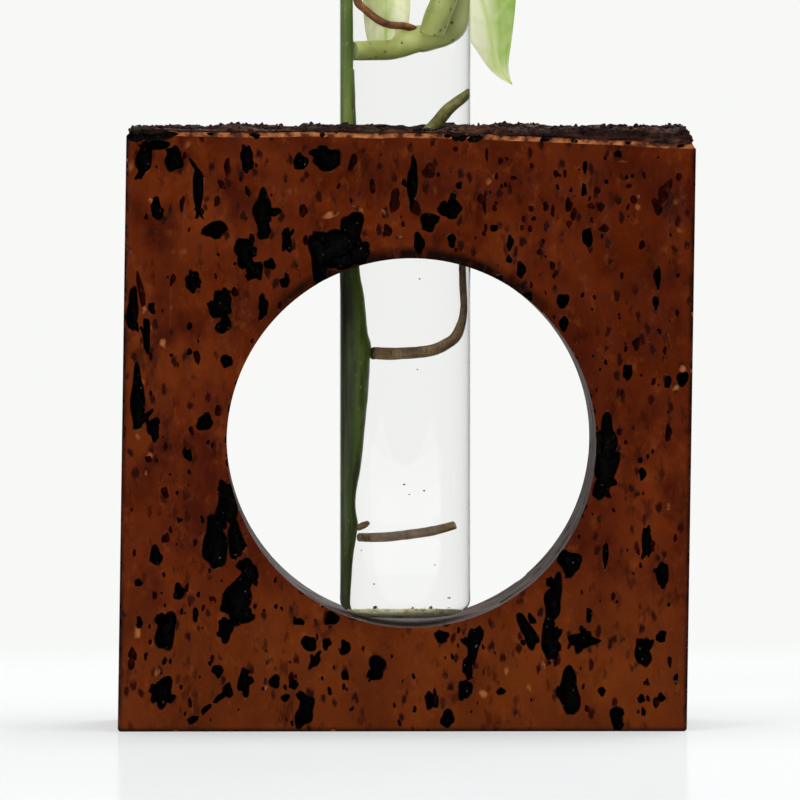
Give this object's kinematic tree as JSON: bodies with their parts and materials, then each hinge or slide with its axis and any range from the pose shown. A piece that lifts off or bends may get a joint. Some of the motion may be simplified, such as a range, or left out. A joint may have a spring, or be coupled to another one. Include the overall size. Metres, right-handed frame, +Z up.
{
  "type": "propagation planter",
  "caption": "Upright block of cork bark with a round window through it, holding a flat-bottomed glass tube with one rooted cutting.",
  "frame": {"origin": "middle of the cork block's foot, on the tube's axis", "axes": "+Z up along the tube, +X to the right of the block's front face, +Y towards its back, so the front looks along -Y"},
  "size_m": [0.1094, 0.045, 0.229],
  "materials": {
    "cork_varnished": "satin",
    "clear_glass": "polished",
    "stem_green": "satin",
    "shoot_green": "satin",
    "root_brown": "matte",
    "root_olive": "matte",
    "leaf_cream": "satin"
  },
  "bodies": {
    "block": {"cork_block": "cork_varnished"},
    "tube": {"glass_tube": "clear_glass"},
    "cutting": {"main_stem": "stem_green", "stem_node_bud": "root_brown", "middle_root": "root_brown", "lower_root": "root_brown", "upper_root": "root_olive", "side_shoot": "shoot_green", "aerial_root": "root_brown", "shoot_petiole": "shoot_green", "young_leaf": "leaf_cream", "upright_leaf": "leaf_cream", "hanging_petiole": "shoot_green", "hanging_leaf": "leaf_cream", "top_petiole": "shoot_green", "top_leaf": "leaf_cream"}
  },
  "joints": [
    {"name": "tube_lift", "type": "slide", "parent": "block", "child": "tube", "axis": [0, 0, 1], "range_m": [0, 0.095]},
    {"name": "cutting_lift", "type": "slide", "parent": "tube", "child": "cutting", "axis": [0, 0, 1], "range_m": [0, 0.15]}
  ]
}
